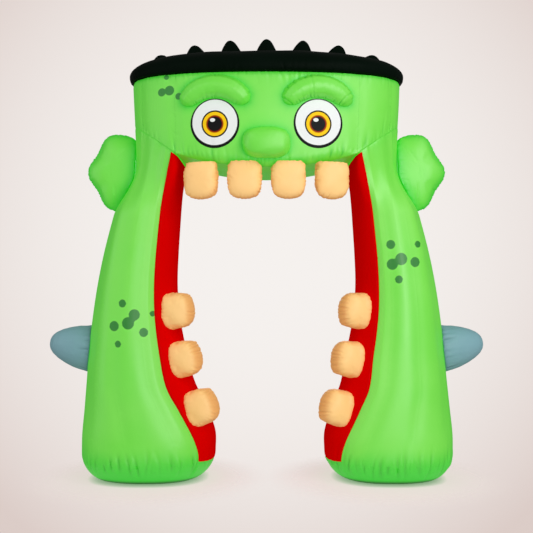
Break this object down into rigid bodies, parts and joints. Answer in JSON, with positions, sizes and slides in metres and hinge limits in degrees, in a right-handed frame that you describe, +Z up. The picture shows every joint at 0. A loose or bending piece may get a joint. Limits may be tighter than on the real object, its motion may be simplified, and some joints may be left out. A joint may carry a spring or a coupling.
{
  "type": "inflatable arch",
  "caption": "Inflatable walk-through arch shaped as a horned monster's open mouth, with fat leg columns, a domed header, padded teeth, ears and a soft crest.",
  "frame": {"origin": "on the floor, midway between the legs and midway through the overall depth", "axes": "+Z up, the face looks along -Y, +X to the right as seen from the front"},
  "size_m": [2.8538, 1.0673, 2.8787],
  "materials": {
    "green_cloth": "woven nylon, satin",
    "red_cloth": "woven nylon, matt",
    "black_cloth": "woven nylon, matt",
    "cream_cloth": "woven nylon, satin",
    "slate_cloth": "woven nylon, satin",
    "eye_cloth": "printed woven nylon"
  },
  "bodies": {
    "root": {"base_left": "green_cloth", "base_right": "green_cloth", "leg_left": "green_cloth", "leg_right": "green_cloth", "header": "green_cloth", "ear_left": "green_cloth", "ear_right": "green_cloth", "brow_left": "green_cloth", "brow_right": "green_cloth", "snout": "green_cloth", "lining_left": "red_cloth", "lining_right": "red_cloth", "crown": "black_cloth", "spike_1": "black_cloth", "spike_2": "black_cloth", "spike_3": "black_cloth", "spike_4": "black_cloth", "spike_5": "black_cloth", "spike_6": "black_cloth", "spike_7": "black_cloth", "tooth_upper_1": "cream_cloth", "tooth_upper_2": "cream_cloth", "tooth_upper_3": "cream_cloth", "tooth_upper_4": "cream_cloth", "tooth_left_1": "cream_cloth", "tooth_left_2": "cream_cloth", "tooth_left_3": "cream_cloth", "tooth_right_1": "cream_cloth", "tooth_right_2": "cream_cloth", "tooth_right_3": "cream_cloth", "horn_left": "slate_cloth", "horn_right": "slate_cloth", "eye_left": "eye_cloth", "eye_right": "eye_cloth"}
  },
  "joints": []
}
